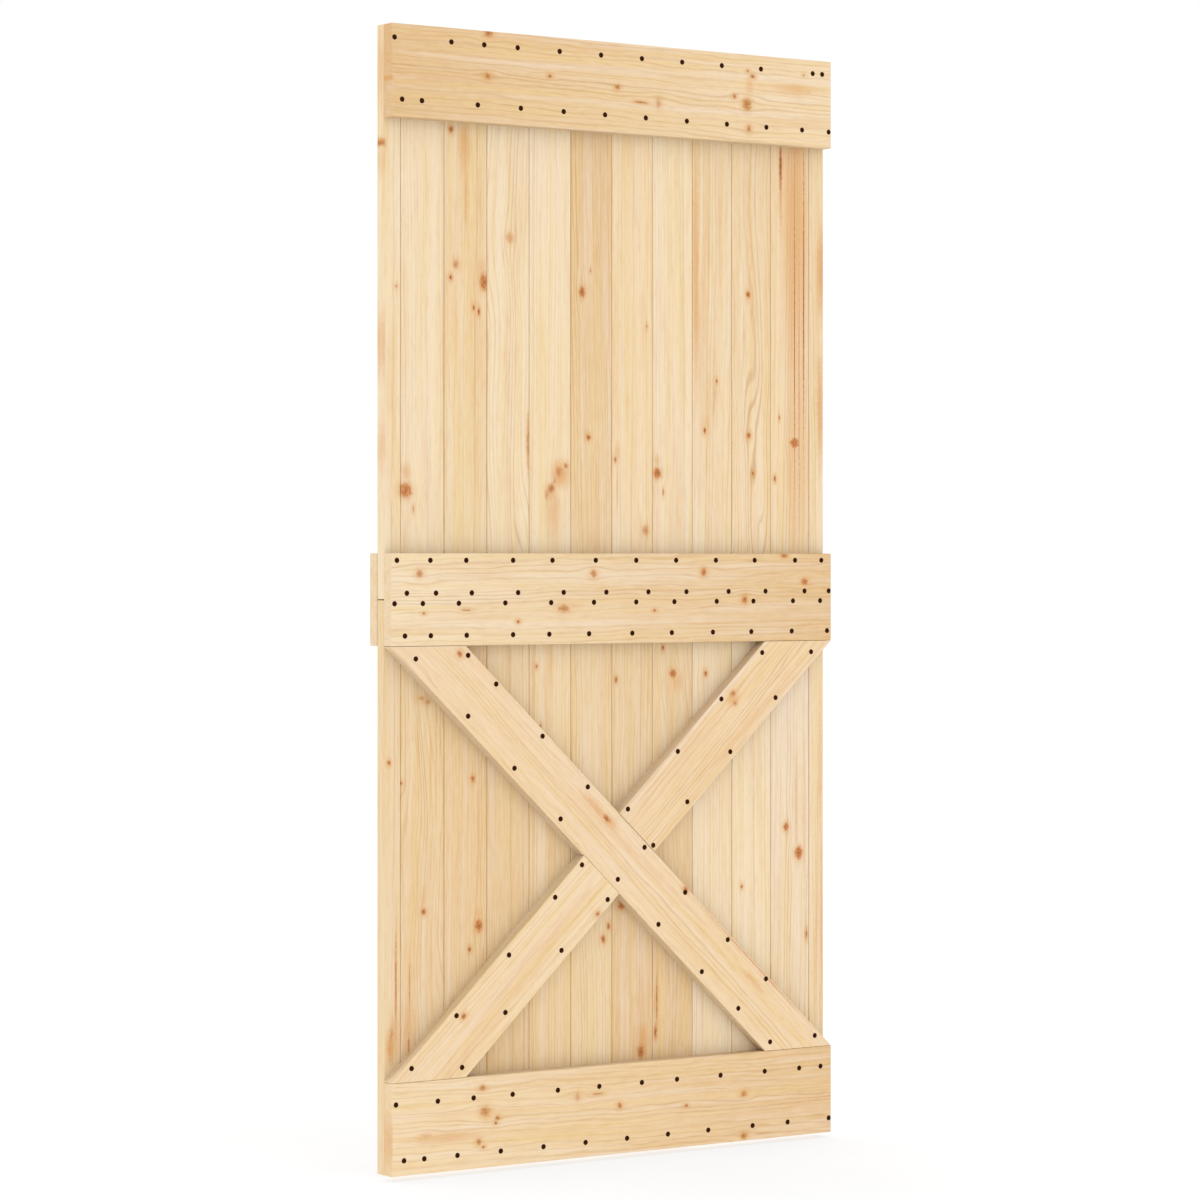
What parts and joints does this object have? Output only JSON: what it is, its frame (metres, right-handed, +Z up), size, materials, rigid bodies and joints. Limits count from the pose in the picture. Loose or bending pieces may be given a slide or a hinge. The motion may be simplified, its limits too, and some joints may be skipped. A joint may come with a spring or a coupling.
{
  "type": "sliding barn door leaf",
  "caption": "Tall pine sliding door leaf of tongue-and-groove boards, with rails across the top, middle and bottom and an X of braces on the lower half.",
  "frame": {"origin": "centre of the top rail's front face, where the roller hangers bolt on", "axes": "+Z up along the boards, +X to the right across the door, +Y from the front to the back, so the rails and braces face -Y"},
  "size_m": [1, 0.078, 2.1],
  "materials": {
    "pine_boards": "planed, unfinished",
    "pine_rails": "planed, unfinished",
    "pine_braces": "planed, unfinished",
    "screws": "dark phosphate"
  },
  "bodies": {
    "root": {"upper_board_01": "pine_boards", "upper_board_02": "pine_boards", "upper_board_03": "pine_boards", "upper_board_04": "pine_boards", "upper_board_05": "pine_boards", "upper_board_06": "pine_boards", "upper_board_07": "pine_boards", "upper_board_08": "pine_boards", "upper_board_09": "pine_boards", "upper_board_10": "pine_boards", "upper_board_11": "pine_boards", "upper_board_12": "pine_boards", "lower_board_01": "pine_boards", "lower_board_02": "pine_boards", "lower_board_03": "pine_boards", "lower_board_04": "pine_boards", "lower_board_05": "pine_boards", "lower_board_06": "pine_boards", "lower_board_07": "pine_boards", "lower_board_08": "pine_boards", "lower_board_09": "pine_boards", "lower_board_10": "pine_boards", "lower_board_11": "pine_boards", "lower_board_12": "pine_boards", "top_rail": "pine_rails", "middle_rail_front": "pine_rails", "middle_rail_back": "pine_rails", "bottom_rail": "pine_rails", "brace_full": "pine_braces", "brace_upper_half": "pine_braces", "brace_lower_half": "pine_braces"}
  },
  "joints": []
}
